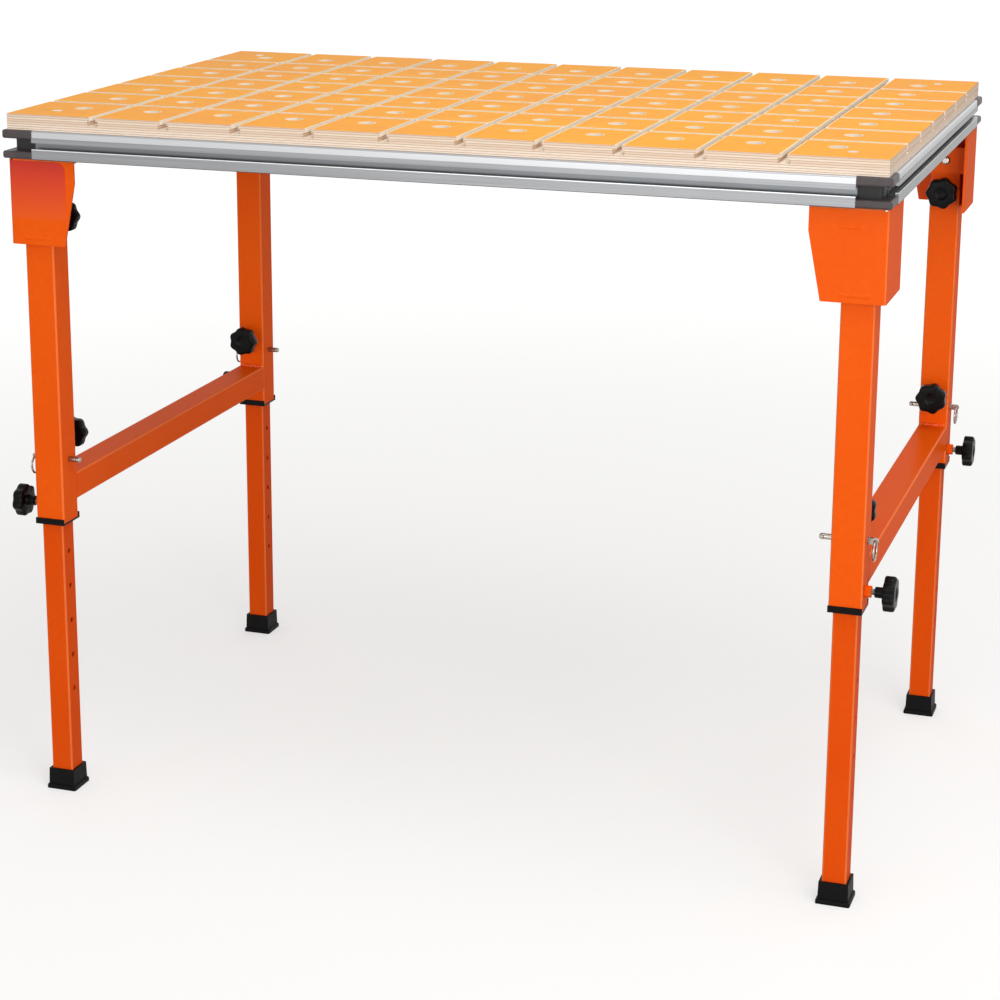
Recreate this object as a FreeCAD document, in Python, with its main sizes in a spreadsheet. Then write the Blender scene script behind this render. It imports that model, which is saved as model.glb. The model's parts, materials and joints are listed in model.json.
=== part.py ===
import FreeCAD, Part
import math
import os
import re
import Sketcher
from FreeCAD import Rotation, Vector

# Folding work table with four telescopic legs. All lengths are in millimetres.
# X runs along the table, -Y is the front, Z is up and the floor is Z = 0.
# One corner, the back right one, is modelled; the other three are its mirror images.

SIZES = {
    # Worktop: a plywood board with dog holes and T-shaped grooves.
    "table_height": 910,
    "top_length": 1102,
    "top_width": 718,
    "top_thickness": 20,
    "dog_hole_diameter": 20,
    "dog_hole_pitch": 96,
    "dog_hole_margin": 40,
    "groove_neck_width": 8,
    "groove_neck_depth": 5,
    "groove_foot_width": 14.5,
    "groove_foot_depth": 6,
    # Rails: aluminium profiles under the edge of the board.
    "rail_overhang": 5.5,
    "rail_height": 36,
    "rail_depth": 41,
    "rail_lower_lip": 13,
    "rail_slot_height": 8,
    "rail_lip_thickness": 4,
    "rail_channel_height": 16,
    "rail_channel_depth": 11,
    "rail_wall": 3,
    "rail_step_height": 27,
    "rail_step_depth": 0.8,
    "rail_edge_radius": 3,
    # Corner pieces between the rails.
    "corner_reach": 41.5,
    "corner_lower_lip": 9.5,
    "corner_channel_height": 15.5,
    "corner_channel_depth": 12,
    "corner_inner_radius": 5.5,
    "corner_lip_radius": 3,
    "spigot_length": 20,
    "spigot_clearance": 0.2,
    # Screws that hold the board, with their sleeves and nuts.
    "screw_from_end": 49,
    "screw_from_side": 42,
    "screw_radius": 3,
    "screw_head_radius": 6,
    "screw_head_height": 3.3,
    "screw_clearance": 0.2,
    "sleeve_radius": 5.5,
    "nut_flats": 10,
    "nut_height": 5,
    # Brackets: folded and welded sheet steel under each corner.
    "sheet_thickness": 3,
    "bracket_inset_x": 3.5,
    "bracket_inset_y": 8.5,
    "bracket_height": 110,
    "bracket_top_width": 91,
    "bracket_bottom_width": 75,
    "bracket_shoulder": 29.5,
    "bracket_web_depth": 95,
    "bracket_top_depth": 60,
    "bend_radius": 4,
    "relief_width": 3,
    "relief_height": 3.5,
    "web_gap": 10,
    "plate_gap": 7,
    "pivot_drop": 45.5,
    "pivot_plate_reach": 22,
    "pivot_plate_height": 36,
    "pivot_plate_gap": 1,
    "stop_lip_gap": 0.3,
    "stop_lip_width": 30,
    "bracket_bolt_from_web": 65,
    "bracket_bolt_spacing": 16,
    "bolt_radius": 3,
    "bolt_head_radius": 5,
    "bolt_head_height": 3,
    "nut_plate_thickness": 5,
    "nut_plate_width": 14,
    "nut_plate_margin": 6.5,
    # Pivots on which the end frames fold.
    "pivot_radius": 4,
    "pivot_clearance": 0.05,
    "pivot_head_radius": 6,
    "pivot_head_height": 4,
    "pivot_dome_radius": 3,
    "pivot_nut_height": 6.5,
    # Upper legs and the crossbar between them.
    "leg_side": 40,
    "leg_wall": 2,
    "leg_corner_radius": 3,
    "leg_above_pivot": 19,
    "leg_bottom": 374.5,
    "crossbar_height": 36,
    "crossbar_bottom": 398,
    # Collars that guide the lower legs.
    "collar_plate": 2.5,
    "collar_margin": 0.4,
    "collar_lip": 1.8,
    "collar_lip_height": 8,
    "collar_sleeve_height": 65.5,
    "collar_clearance": 0.3,
    # Lower legs and feet.
    "lower_side": 30,
    "lower_wall": 2,
    "lower_corner_radius": 2.5,
    "lower_above_pin": 32.5,
    "pin_hole_pitch": 48,
    "pin_row_rise": 18,
    "pin_holes": 8,
    "foot_height": 28,
    "foot_floor": 4,
    "foot_top_side": 36,
    "foot_skirt_side": 37.5,
    "foot_base_side": 42,
    "foot_base_height": 6,
    "foot_base_radius": 2.5,
    # Lock pins and their rings.
    "pin_height": 457.5,
    "pin_radius": 3.6,
    "pin_clearance": 0.1,
    "pin_tip_reach": 17,
    "pin_tip_radius": 2.5,
    "pin_flange_radius": 5,
    "pin_flange_thickness": 1.5,
    "pin_tang_length": 11,
    "pin_tang_thickness": 4,
    "pin_tang_height": 7.5,
    "pin_tang_radius": 3.6,
    "ring_hole_offset": 8.5,
    "ring_hole_radius": 2,
    "ring_radius": 11.5,
    "ring_wire_radius": 1.4,
    # Clamp knobs with their studs and weld nuts.
    "knob_radius": 21.4,
    "knob_height": 14,
    "knob_lobes": 7,
    "knob_hollow_radius": 16,
    "knob_hollow_distance": 34.3,
    "knob_edge_radius": 2.5,
    "knob_recess_radius": 8,
    "knob_recess_depth": 2.5,
    "knob_stand_off": 11,
    "hub_radius": 6.5,
    "hub_length": 11,
    "stud_radius": 4,
    "stud_clearance": 0.05,
    "stud_hole_clearance": 0.3,
    "stud_gap": 0.3,
    "weld_nut_flats": 13,
    "weld_nut_height": 7,
    "fold_knob_drop": 41.1,
    "leg_knob_height": 479.5,
    "side_knob_height": 395.5,
    # How far a cutting shape runs past the face it cuts through.
    "overrun": 5,
}

# Places worked out from the sizes, for the corner where outward is +X and +Y.
TOP_UNDER = "(table_height - top_thickness)"
HOLES_ALONG = "(floor((top_length - 2 * dog_hole_margin) / dog_hole_pitch) + 1)"
HOLES_ACROSS = "(floor((top_width - 2 * dog_hole_margin) / dog_hole_pitch) + 1)"
RAIL_UNDER = f"({TOP_UNDER} - rail_height)"
RAIL_FACE_X = "(top_length / 2 + rail_overhang)"
RAIL_FACE_Y = "(top_width / 2 + rail_overhang)"
RAIL_END_X = f"({RAIL_FACE_X} - corner_reach)"
RAIL_END_Y = f"({RAIL_FACE_Y} - corner_reach)"
SCREW_X = "(top_length / 2 - screw_from_end)"
SCREW_Y = "(top_width / 2 - screw_from_side)"
WEB_OUT = f"({RAIL_FACE_X} - bracket_inset_x)"
WEB_IN = f"({WEB_OUT} - sheet_thickness)"
PLATE_OUT = f"({RAIL_FACE_Y} - bracket_inset_y)"
PLATE_IN = f"({PLATE_OUT} - sheet_thickness)"
BRACKET_UNDER = f"({RAIL_UNDER} - bracket_height)"
TOP_PLATE_UNDER = f"({RAIL_UNDER} - sheet_thickness)"
LEG_X = f"({WEB_IN} - web_gap - leg_side / 2)"
LEG_Y = f"({PLATE_IN} - plate_gap - leg_side / 2)"
LEG_INNER_Y = f"({LEG_Y} - leg_side / 2)"
LEG_OUTER_X = f"({LEG_X} + leg_side / 2)"
PIVOT_Z = f"({RAIL_UNDER} - pivot_drop)"
PIVOT_PLATE_OUT = f"({LEG_INNER_Y} - pivot_plate_gap)"
PIVOT_PLATE_IN = f"({PIVOT_PLATE_OUT} - sheet_thickness)"
FOLD_KNOB_Z = f"({PIVOT_Z} - fold_knob_drop)"
CHAMBER_NEAR = "(rail_channel_depth + rail_wall)"
CHAMBER_FAR = "(rail_depth - rail_wall)"
CHAMBER_Y = f"({RAIL_FACE_Y} - ({CHAMBER_NEAR} + {CHAMBER_FAR}) / 2)"
RING_X = f"({LEG_OUTER_X} + ring_hole_offset)"

TOLERANCE = 1e-6  # two places nearer than this are the same

doc = FreeCAD.newDocument("WorkTable")
sheet = doc.addObject("Spreadsheet::Sheet", "Sizes")
for row, (alias, value) in enumerate(SIZES.items(), 1):
    sheet.set(f"A{row}", alias)
    sheet.set(f"B{row}", str(value))
    sheet.setAlias(f"B{row}", alias)
doc.recompute()

nodes = {}


def formula(text):
    """Point every size named in a formula at its cell in the sheet."""
    def cell(word):
        return "Sizes." + word.group() if word.group() in SIZES else word.group()
    return re.sub(r"[a-z_]+", cell, text)


def bind(thing, **formulas):
    for name, text in formulas.items():
        thing.setExpression(name, formula(text))


def place(thing, x, y, z, rotation=None):
    if rotation is not None:
        thing.Placement.Rotation = rotation
    for axis, text in (("x", x), ("y", y), ("z", z)):
        thing.setExpression(f"Placement.Base.{axis}", formula(text))


def block(name, x, y, z):
    """A box between a low and a high formula on each axis."""
    box = doc.addObject("Part::Box", name)
    bind(box, Length=f"{x[1]} - ({x[0]})", Width=f"{y[1]} - ({y[0]})", Height=f"{z[1]} - ({z[0]})")
    place(box, x[0], y[0], z[0])
    return box


ALONG = {
    "x": Rotation(Vector(0, 1, 0), 90),
    "y": Rotation(Vector(1, 0, 0), -90),
    "z": Rotation(),
}


def rod(name, along, start, length, radius, kind="Part::Cylinder"):
    """A cylinder or a hexagonal prism from a start point along one axis."""
    thing = doc.addObject(kind, name)
    if kind == "Part::Prism":
        thing.Polygon = 6
        bind(thing, Circumradius=radius, Height=length)
    else:
        bind(thing, Radius=radius, Height=length)
    place(thing, *start, rotation=ALONG[along])
    return thing


def fuse(name, *pieces):
    result = doc.addObject("Part::MultiFuse", name)
    result.Shapes = list(pieces)
    result.Refine = True
    return result


def cut(name, base, *tools):
    result = doc.addObject("Part::Cut", name)
    result.Base = base
    result.Tool = tools[0] if len(tools) == 1 else fuse(name + "_tools", *tools)
    return result


def rounded(name, base, radius, wanted):
    """Round the edges of a shape that the test 'wanted' picks."""
    doc.recompute()
    result = doc.addObject("Part::Fillet", name)
    result.Base = base
    size = sheet.get(radius)
    bounds = base.Shape.BoundBox
    edges = enumerate(base.Shape.Edges, 1)
    result.Edges = [(number, size, size) for number, edge in edges if wanted(edge, bounds)]
    return result


def runs(edge, axis):
    """Whether a straight edge runs along one axis."""
    return isinstance(edge.Curve, Part.Line) and near(abs(getattr(edge.Curve.Direction, axis)), 1)


def near(value, other):
    return abs(value - other) < TOLERANCE


def mirror(name, source, normal):
    result = doc.addObject("Part::Mirroring", name)
    result.Source = source
    result.Normal = normal
    return result


ACROSS_X = Vector(1, 0, 0)
ACROSS_Y = Vector(0, 1, 0)


def group(label, pieces):
    result = doc.addObject("Part::Compound", label)
    result.Links = list(pieces)
    return result


def keep(label, thing):
    """Name one finished sub-part of the assembly."""
    thing.Label = label
    nodes[label] = thing
    return thing


def all_corners(name, thing):
    """The back right piece with its three mirror images."""
    front_right = mirror(name + "_front_right", thing, ACROSS_Y)
    return {
        "back_right": thing,
        "front_right": front_right,
        "back_left": mirror(name + "_back_left", thing, ACROSS_X),
        "front_left": mirror(name + "_front_left", front_right, ACROSS_X),
    }


def keep_corners(name, thing):
    for corner, piece in all_corners(name, thing).items():
        keep(f"{name}_{corner}", piece)


def new_body(name):
    return doc.addObject("PartDesign::Body", name)


def origin_feature(body, role):
    return next(feature for feature in body.Origin.OriginFeatures if feature.Role == role)


def new_sketch(body, name, role, offset="0"):
    sketch = body.newObject("Sketcher::SketchObject", name)
    sketch.AttachmentSupport = [(origin_feature(body, role), "")]
    sketch.MapMode = "FlatFace"
    sketch.setExpression("AttachmentOffset.Base.z", formula(offset))
    return sketch


def fix_point(sketch, geometry, position, x, y):
    for kind, text in (("DistanceX", x), ("DistanceY", y)):
        number = sketch.addConstraint(Sketcher.Constraint(kind, geometry, position, 1.0))
        sketch.setExpression(f"Constraints[{number}]", formula(text))


def polygon(sketch, points):
    """A closed outline whose corners are held by formulas."""
    count = len(points)
    first = sketch.GeometryCount
    turns = [math.tau * i / count for i in range(count)]
    start = [Vector(math.cos(turn), math.sin(turn)) for turn in turns]
    for i in range(count):
        sketch.addGeometry(Part.LineSegment(start[i], start[(i + 1) % count]), False)
    for i in range(count):
        sketch.addConstraint(Sketcher.Constraint("Coincident", first + i, 2, first + (i + 1) % count, 1))
    for i, (x, y) in enumerate(points):
        fix_point(sketch, first + i, 1, x, y)


def circle(sketch, x, y, radius):
    number = sketch.addGeometry(Part.Circle(Vector(), Vector(0, 0, 1), 1), False)
    fix_point(sketch, number, 3, x, y)
    size = sketch.addConstraint(Sketcher.Constraint("Radius", number, 1))
    sketch.setExpression(f"Constraints[{size}]", formula(radius))


def feature(body, kind, name, profile, length=None, symmetric=False, backwards=False):
    """A pad or pocket of a sketch, through everything where no length is given."""
    result = body.newObject(f"PartDesign::{kind}", name)
    result.Profile = profile
    if symmetric:
        result.SideType = "Symmetric"
    result.Reversed = backwards
    if length is None:
        result.Type = "ThroughAll"
    else:
        bind(result, Length=length)
    profile.Visibility = False
    return result


def row_pattern(body, name, role, length, count):
    pattern = body.newObject("PartDesign::LinearPattern", name)
    pattern.Direction = (origin_feature(body, role), [""])
    bind(pattern, Length=length, Occurrences=count)
    return pattern


def tee(middle):
    """Outline of a T-shaped groove that opens at the top of the board."""
    foot = "(top_thickness - groove_neck_depth - groove_foot_depth)"
    step = "(top_thickness - groove_neck_depth)"
    above = "(top_thickness + overrun)"
    half = [("groove_foot_width / 2", foot), ("groove_foot_width / 2", step),
            ("groove_neck_width / 2", step), ("groove_neck_width / 2", above)]
    right = [(f"{middle} + {x}", z) for x, z in half]
    left = [(f"{middle} - {x}", z) for x, z in reversed(half)]
    return right + left


# Worktop
board = new_body("board")
place(board, "0", "0", TOP_UNDER)
outline = new_sketch(board, "board_outline", "XY_Plane")
polygon(outline, [(f"{i} * top_length / 2", f"{j} * top_width / 2")
                  for i, j in ((-1, -1), (1, -1), (1, 1), (-1, 1))])
feature(board, "Pad", "board_pad", outline, "top_thickness")
hole = new_sketch(board, "dog_hole_outline", "XY_Plane")
circle(hole, f"-({HOLES_ALONG} - 1) * dog_hole_pitch / 2",
       f"-({HOLES_ACROSS} - 1) * dog_hole_pitch / 2", "dog_hole_diameter / 2")
first_hole = feature(board, "Pocket", "dog_hole", hole, symmetric=True)
hole_grid = board.newObject("PartDesign::MultiTransform", "dog_hole_grid")
hole_grid.Originals = [first_hole]
hole_grid.Transformations = [
    row_pattern(board, name, role, f"({count} - 1) * dog_hole_pitch", count)
    for name, role, count in (("holes_along", "X_Axis", HOLES_ALONG),
                              ("holes_across", "Y_Axis", HOLES_ACROSS))
]
board.Tip = hole_grid
for direction, plane, role, count in (("crosswise", "XZ_Plane", "X_Axis", HOLES_ALONG),
                                      ("lengthwise", "YZ_Plane", "Y_Axis", HOLES_ACROSS)):
    profile = new_sketch(board, f"{direction}_groove_outline", plane)
    polygon(profile, tee(f"-({count} - 2) * dog_hole_pitch / 2"))
    groove = feature(board, "Pocket", f"{direction}_groove", profile, symmetric=True)
    doc.recompute()
    grooves = row_pattern(board, f"{direction}_grooves", role,
                          f"({count} - 2) * dog_hole_pitch", f"{count} - 1")
    grooves.Originals = [groove]
    board.Tip = grooves

# Screws through the board, with the sleeves and nuts under it
screw_head = doc.addObject("Part::Cone", "screw_head")
bind(screw_head, Radius1="screw_radius", Radius2="screw_head_radius", Height="screw_head_height")
place(screw_head, SCREW_X, SCREW_Y, "table_height - screw_head_height")
SCREW_END = f"({TOP_PLATE_UNDER} - nut_height)"
screw_shank = rod("screw_shank", "z", (SCREW_X, SCREW_Y, SCREW_END),
                  f"table_height - screw_head_height - {SCREW_END}", "screw_radius")
screw = fuse("top_screw", screw_head, screw_shank)
keep("top_screws", group("top_screws", all_corners("top_screw", screw).values()))
screw_hole = rod("screw_hole", "z", (SCREW_X, SCREW_Y, f"{SCREW_END} - overrun"),
                 f"table_height - {SCREW_END} + 2 * overrun", "screw_radius + screw_clearance")
board_hole = fuse("board_hole", screw_head, screw_hole)
keep("worktop", cut("worktop", board, *all_corners("board_hole", board_hole).values()))
sleeve_body = rod("sleeve_body", "z", (SCREW_X, SCREW_Y, RAIL_UNDER), "rail_height", "sleeve_radius")
sleeve = cut("sleeve", sleeve_body, screw_hole)
keep("spacer_sleeves", group("spacer_sleeves", all_corners("sleeve", sleeve).values()))
nut_body = rod("nut_body", "z", (SCREW_X, SCREW_Y, SCREW_END), "nut_height",
               "nut_flats / sqrt(3)", "Part::Prism")
nut = cut("nut", nut_body, screw_shank)
keep("top_nuts", group("top_nuts", all_corners("nut", nut).values()))


def rail_outline(face):
    """Rail section as distance from the table's middle and height, with its slot and lips."""
    slot_low = f"({RAIL_UNDER} + rail_lower_lip)"
    slot_high = f"({slot_low} + rail_slot_height)"
    widening = "(rail_channel_height - rail_slot_height) / 2"
    step = f"({RAIL_UNDER} + rail_step_height)"
    return [
        (face, RAIL_UNDER), (face, slot_low),
        (f"{face} - rail_lip_thickness", slot_low),
        (f"{face} - rail_lip_thickness", f"{slot_low} - {widening}"),
        (f"{face} - rail_channel_depth", f"{slot_low} - {widening}"),
        (f"{face} - rail_channel_depth", f"{slot_high} + {widening}"),
        (f"{face} - rail_lip_thickness", f"{slot_high} + {widening}"),
        (f"{face} - rail_lip_thickness", slot_high), (face, slot_high),
        (face, step), (f"{face} - rail_step_depth", step), (f"{face} - rail_step_depth", TOP_UNDER),
        (f"{face} - rail_depth", TOP_UNDER), (f"{face} - rail_depth", RAIL_UNDER),
    ]


def chamber_outline(face):
    low = f"({RAIL_UNDER} + rail_wall)"
    high = f"({TOP_UNDER} - rail_wall)"
    return [(f"{face} - {CHAMBER_NEAR}", low), (f"{face} - {CHAMBER_NEAR}", high),
            (f"{face} - {CHAMBER_FAR}", high), (f"{face} - {CHAMBER_FAR}", low)]


def rail(name, plane, face, half_length, across):
    """One rail, rounded along its outer top edge."""
    body = new_body(name + "_profile")
    profile = new_sketch(body, name + "_outline", plane)
    polygon(profile, rail_outline(face))
    polygon(profile, chamber_outline(face))
    feature(body, "Pad", name + "_pad", profile, f"2 * {half_length}", symmetric=True)

    def top_edge(edge, bounds):
        outer = getattr(bounds, across.upper() + "Max") - sheet.get("rail_step_depth")
        middle = edge.CenterOfMass
        return near(middle.z, bounds.ZMax) and near(getattr(middle, across), outer)
    return rounded(name + "_rounded", body, "rail_edge_radius", top_edge)


def bolt_at(name, offset):
    """A bolt up through a bracket into the nut plate of the rail above."""
    x = f"({WEB_OUT} - bracket_bolt_from_web - {offset})"
    head = rod(name + "_head", "z", (x, CHAMBER_Y, f"{TOP_PLATE_UNDER} - bolt_head_height"),
               "bolt_head_height", "bolt_head_radius")
    shank = rod(name + "_shank", "z", (x, CHAMBER_Y, TOP_PLATE_UNDER),
                "sheet_thickness + rail_wall + nut_plate_thickness", "bolt_radius")
    room = rod(name + "_hole", "z", (x, CHAMBER_Y, f"{TOP_PLATE_UNDER} - overrun"),
               "sheet_thickness + rail_wall + 2 * overrun", "bolt_radius + screw_clearance")
    return fuse(name, head, shank), shank, room


# Bracket bolts and nut plates, then the rails that they hold
near_bolt, near_shank, near_hole = bolt_at("near_bolt", "0")
far_bolt, far_shank, far_hole = bolt_at("far_bolt", "bracket_bolt_spacing")
bolt_pair = group("bolt_pair", [near_bolt, far_bolt])
keep("bracket_bolts", group("bracket_bolts", all_corners("bolt_pair", bolt_pair).values()))
NUT_PLATE_UNDER = f"({RAIL_UNDER} + rail_wall)"
nut_plate_blank = block(
    "nut_plate_blank",
    (f"{WEB_OUT} - bracket_bolt_from_web - bracket_bolt_spacing - nut_plate_margin",
     f"{WEB_OUT} - bracket_bolt_from_web + nut_plate_margin"),
    (f"{CHAMBER_Y} - nut_plate_width / 2", f"{CHAMBER_Y} + nut_plate_width / 2"),
    (NUT_PLATE_UNDER, f"{NUT_PLATE_UNDER} + nut_plate_thickness"))
nut_plate = cut("nut_plate", nut_plate_blank, near_shank, far_shank)
keep("nut_plates", group("nut_plates", all_corners("nut_plate", nut_plate).values()))

bolt_holes = group("bolt_holes", [near_hole, far_hole])
long_rail = rail("long_rail", "YZ_Plane", RAIL_FACE_Y, RAIL_END_X, "y")
drilled = cut("rail_back", long_rail, bolt_holes, mirror("bolt_holes_left", bolt_holes, ACROSS_X))
keep("rail_back", drilled)
keep("rail_front", mirror("rail_front", drilled, ACROSS_Y))
short_rail = rail("short_rail", "XZ_Plane", RAIL_FACE_X, RAIL_END_Y, "x")
keep("rail_right", short_rail)
keep("rail_left", mirror("rail_left", short_rail, ACROSS_X))


def outer_edge(edge, bounds):
    """Edges on the two outer faces of a corner piece's lip."""
    middle = edge.CenterOfMass
    outer_x = near(middle.x, bounds.XMax) and not near(middle.y, bounds.YMin)
    outer_y = near(middle.y, bounds.YMax) and not near(middle.x, bounds.XMin)
    return outer_x or outer_y


# Corner pieces: two lips round a core, with a spigot in the end of each rail
corner_x = (RAIL_END_X, RAIL_FACE_X)
corner_y = (RAIL_END_Y, RAIL_FACE_Y)
CHANNEL_LOW = f"({RAIL_UNDER} + corner_lower_lip)"
CHANNEL_HIGH = f"({CHANNEL_LOW} + corner_channel_height)"
lower_blank = block("corner_lower_blank", corner_x, corner_y, (RAIL_UNDER, CHANNEL_LOW))
lower_lip = rounded("corner_lower", lower_blank, "corner_lip_radius", outer_edge)
upper_blank = block("corner_upper_blank", corner_x, corner_y, (CHANNEL_HIGH, TOP_UNDER))
upper_lip = rounded("corner_upper", upper_blank, "corner_lip_radius", outer_edge)
core_blank = block("corner_core_blank", (RAIL_END_X, f"{RAIL_FACE_X} - corner_channel_depth"),
                   (RAIL_END_Y, f"{RAIL_FACE_Y} - corner_channel_depth"), (CHANNEL_LOW, CHANNEL_HIGH))
core = rounded("corner_core", core_blank, "corner_inner_radius",
               lambda edge, bounds: runs(edge, "z") and near(edge.CenterOfMass.x, bounds.XMax)
               and near(edge.CenterOfMass.y, bounds.YMax))
spigot_z = (f"{RAIL_UNDER} + rail_wall + spigot_clearance", f"{TOP_UNDER} - rail_wall - spigot_clearance")
spigot_long = block("spigot_long", (f"{RAIL_END_X} - spigot_length", RAIL_END_X),
                    (f"{RAIL_FACE_Y} - {CHAMBER_FAR} + spigot_clearance",
                     f"{RAIL_FACE_Y} - {CHAMBER_NEAR} - spigot_clearance"), spigot_z)
spigot_short = block("spigot_short", (f"{RAIL_FACE_X} - {CHAMBER_FAR} + spigot_clearance",
                                      f"{RAIL_FACE_X} - {CHAMBER_NEAR} - spigot_clearance"),
                     (f"{RAIL_END_Y} - spigot_length", RAIL_END_Y), spigot_z)
keep_corners("corner", fuse("corner", lower_lip, upper_lip, core, spigot_long, spigot_short))

# Brackets
plate = new_body("bracket_plate")
plate_outline = new_sketch(plate, "bracket_plate_outline", "XZ_Plane", f"-{PLATE_OUT}")
polygon(plate_outline, [
    (WEB_OUT, BRACKET_UNDER), (WEB_OUT, RAIL_UNDER),
    (f"{WEB_OUT} - bracket_top_width", RAIL_UNDER),
    (f"{WEB_OUT} - bracket_top_width", f"{RAIL_UNDER} - bracket_shoulder"),
    (f"{WEB_OUT} - bracket_bottom_width", BRACKET_UNDER),
])
feature(plate, "Pad", "bracket_plate_pad", plate_outline, "sheet_thickness")
web = block("bracket_web", (WEB_IN, WEB_OUT), (f"{PLATE_OUT} - bracket_web_depth", PLATE_OUT),
            (BRACKET_UNDER, RAIL_UNDER))
top_plate = block("bracket_top", (f"{WEB_OUT} - bracket_top_width", WEB_OUT),
                  (f"{PLATE_OUT} - bracket_top_depth", PLATE_OUT), (TOP_PLATE_UNDER, RAIL_UNDER))
pivot_plate = block("pivot_plate", (f"{LEG_X} - pivot_plate_reach", WEB_OUT),
                    (PIVOT_PLATE_IN, PIVOT_PLATE_OUT),
                    (f"{PIVOT_Z} - pivot_plate_height / 2", f"{PIVOT_Z} + pivot_plate_height / 2"))
stop_lip = block("stop_lip", (f"{LEG_OUTER_X} + stop_lip_gap", WEB_OUT),
                 (f"{LEG_Y} - stop_lip_width / 2", f"{LEG_Y} + stop_lip_width / 2"),
                 (BRACKET_UNDER, f"{BRACKET_UNDER} + sheet_thickness"))
folded = fuse("bracket_folded", plate, web, top_plate, pivot_plate, stop_lip)
bent = rounded("bracket_bent", folded, "bend_radius",
               lambda edge, bounds: near(edge.CenterOfMass.y, bounds.YMax)
               and ((runs(edge, "z") and near(edge.CenterOfMass.x, bounds.XMax))
                    or (runs(edge, "x") and near(edge.CenterOfMass.z, bounds.ZMax))))
relief = block("bend_relief", (f"{WEB_IN} - relief_width", WEB_IN),
               (f"{PLATE_IN} - overrun", f"{PLATE_OUT} + overrun"),
               (f"{RAIL_UNDER} - relief_height", f"{RAIL_UNDER} + overrun"))
pivot_hole = rod("pivot_plate_hole", "y", (LEG_X, f"{PIVOT_PLATE_IN} - overrun", PIVOT_Z),
                 "sheet_thickness + 2 * overrun", "pivot_radius + screw_clearance")
keep_corners("bracket", cut("bracket", bent, relief, pivot_hole, near_hole, far_hole, screw_hole))

# Pivot bolts and the weld nuts that they screw into
pivot_shank = rod("pivot_shank", "y", (LEG_X, PIVOT_PLATE_IN, PIVOT_Z),
                  f"{PLATE_IN} - {PIVOT_PLATE_IN}", "pivot_radius")
pivot_head = rod("pivot_head", "y", (LEG_X, f"{PIVOT_PLATE_IN} - pivot_head_height", PIVOT_Z),
                 "pivot_head_height", "pivot_head_radius")
domed = rounded("pivot_dome", pivot_head, "pivot_dome_radius",
                lambda edge, bounds: near(edge.CenterOfMass.y, bounds.YMin) and not runs(edge, "y"))
pivot_bolt = fuse("pivot_bolt", domed, pivot_shank)
keep("pivot_bolts", group("pivot_bolts", all_corners("pivot_bolt", pivot_bolt).values()))
pivot_nut_body = rod("pivot_nut_body", "y", (LEG_X, f"{PLATE_IN} - pivot_nut_height", PIVOT_Z),
                     "pivot_nut_height", "weld_nut_flats / sqrt(3)", "Part::Prism")
pivot_nut = cut("pivot_nut", pivot_nut_body, pivot_shank)
keep("pivot_nuts", group("pivot_nuts", all_corners("pivot_nut", pivot_nut).values()))


def square_tube(name, x, y, z, wall, radius):
    """A square tube that stands on end, rounded along its outer corners."""
    blank = block(name + "_blank", x, y, z)
    outside = rounded(name + "_outside", blank, radius, lambda edge, bounds: runs(edge, "z"))
    inside = block(name + "_inside", (f"{x[0]} + {wall}", f"{x[1]} - {wall}"),
                   (f"{y[0]} + {wall}", f"{y[1]} - {wall}"), (f"{z[0]} - overrun", f"{z[1]} + overrun"))
    return outside, inside


def around(middle, side):
    return (f"{middle} - {side} / 2", f"{middle} + {side} / 2")


# Upper legs
leg_x = around(LEG_X, "leg_side")
leg_y = around(LEG_Y, "leg_side")
leg_z = ("leg_bottom", f"{PIVOT_Z} + leg_above_pivot")
leg_outside, leg_inside = square_tube("upper_leg", leg_x, leg_y, leg_z, "leg_wall", "leg_corner_radius")
leg_pivot_hole = rod("leg_pivot_hole", "y", (LEG_X, f"{LEG_INNER_Y} - overrun", PIVOT_Z),
                     "leg_side + 2 * overrun", "pivot_radius + pivot_clearance")
fold_hole = rod("fold_stud_hole", "y", (LEG_X, f"{LEG_INNER_Y} - overrun", FOLD_KNOB_Z),
                "leg_side + 2 * overrun", "stud_radius + stud_hole_clearance")
leg_hole = rod("leg_stud_hole", "y", (LEG_X, f"{LEG_INNER_Y} - overrun", "leg_knob_height"),
               "leg_side / 2 + overrun", "stud_radius + stud_hole_clearance")
side_hole = rod("side_stud_hole", "x", (LEG_X, LEG_Y, "side_knob_height"),
                "leg_side / 2 + overrun", "stud_radius + stud_hole_clearance")
pin_hole = rod("leg_pin_hole", "x", (f"{leg_x[0]} - overrun", LEG_Y, "pin_height"),
               "leg_side + 2 * overrun", "pin_radius + pin_clearance")
keep_corners("upper_leg", cut("upper_leg", leg_outside, leg_inside, leg_pivot_hole, fold_hole, leg_hole,
                              side_hole, pin_hole))

# Crossbars, welded between the two legs of an end
crossbar_z = ("crossbar_bottom", "crossbar_bottom + crossbar_height")
crossbar_blank = block("crossbar_blank", leg_x, (f"-{LEG_INNER_Y}", LEG_INNER_Y), crossbar_z)
crossbar_outside = rounded("crossbar_outside", crossbar_blank, "leg_corner_radius",
                           lambda edge, bounds: runs(edge, "y"))
crossbar_inside = block("crossbar_inside", (f"{leg_x[0]} + leg_wall", f"{leg_x[1]} - leg_wall"),
                        (f"-{LEG_INNER_Y} - overrun", f"{LEG_INNER_Y} + overrun"),
                        (f"{crossbar_z[0]} + leg_wall", f"{crossbar_z[1]} - leg_wall"))
crossbar = keep("crossbar_right", cut("crossbar_right", crossbar_outside, crossbar_inside))
keep("crossbar_left", mirror("crossbar_left", crossbar, ACROSS_X))

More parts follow.
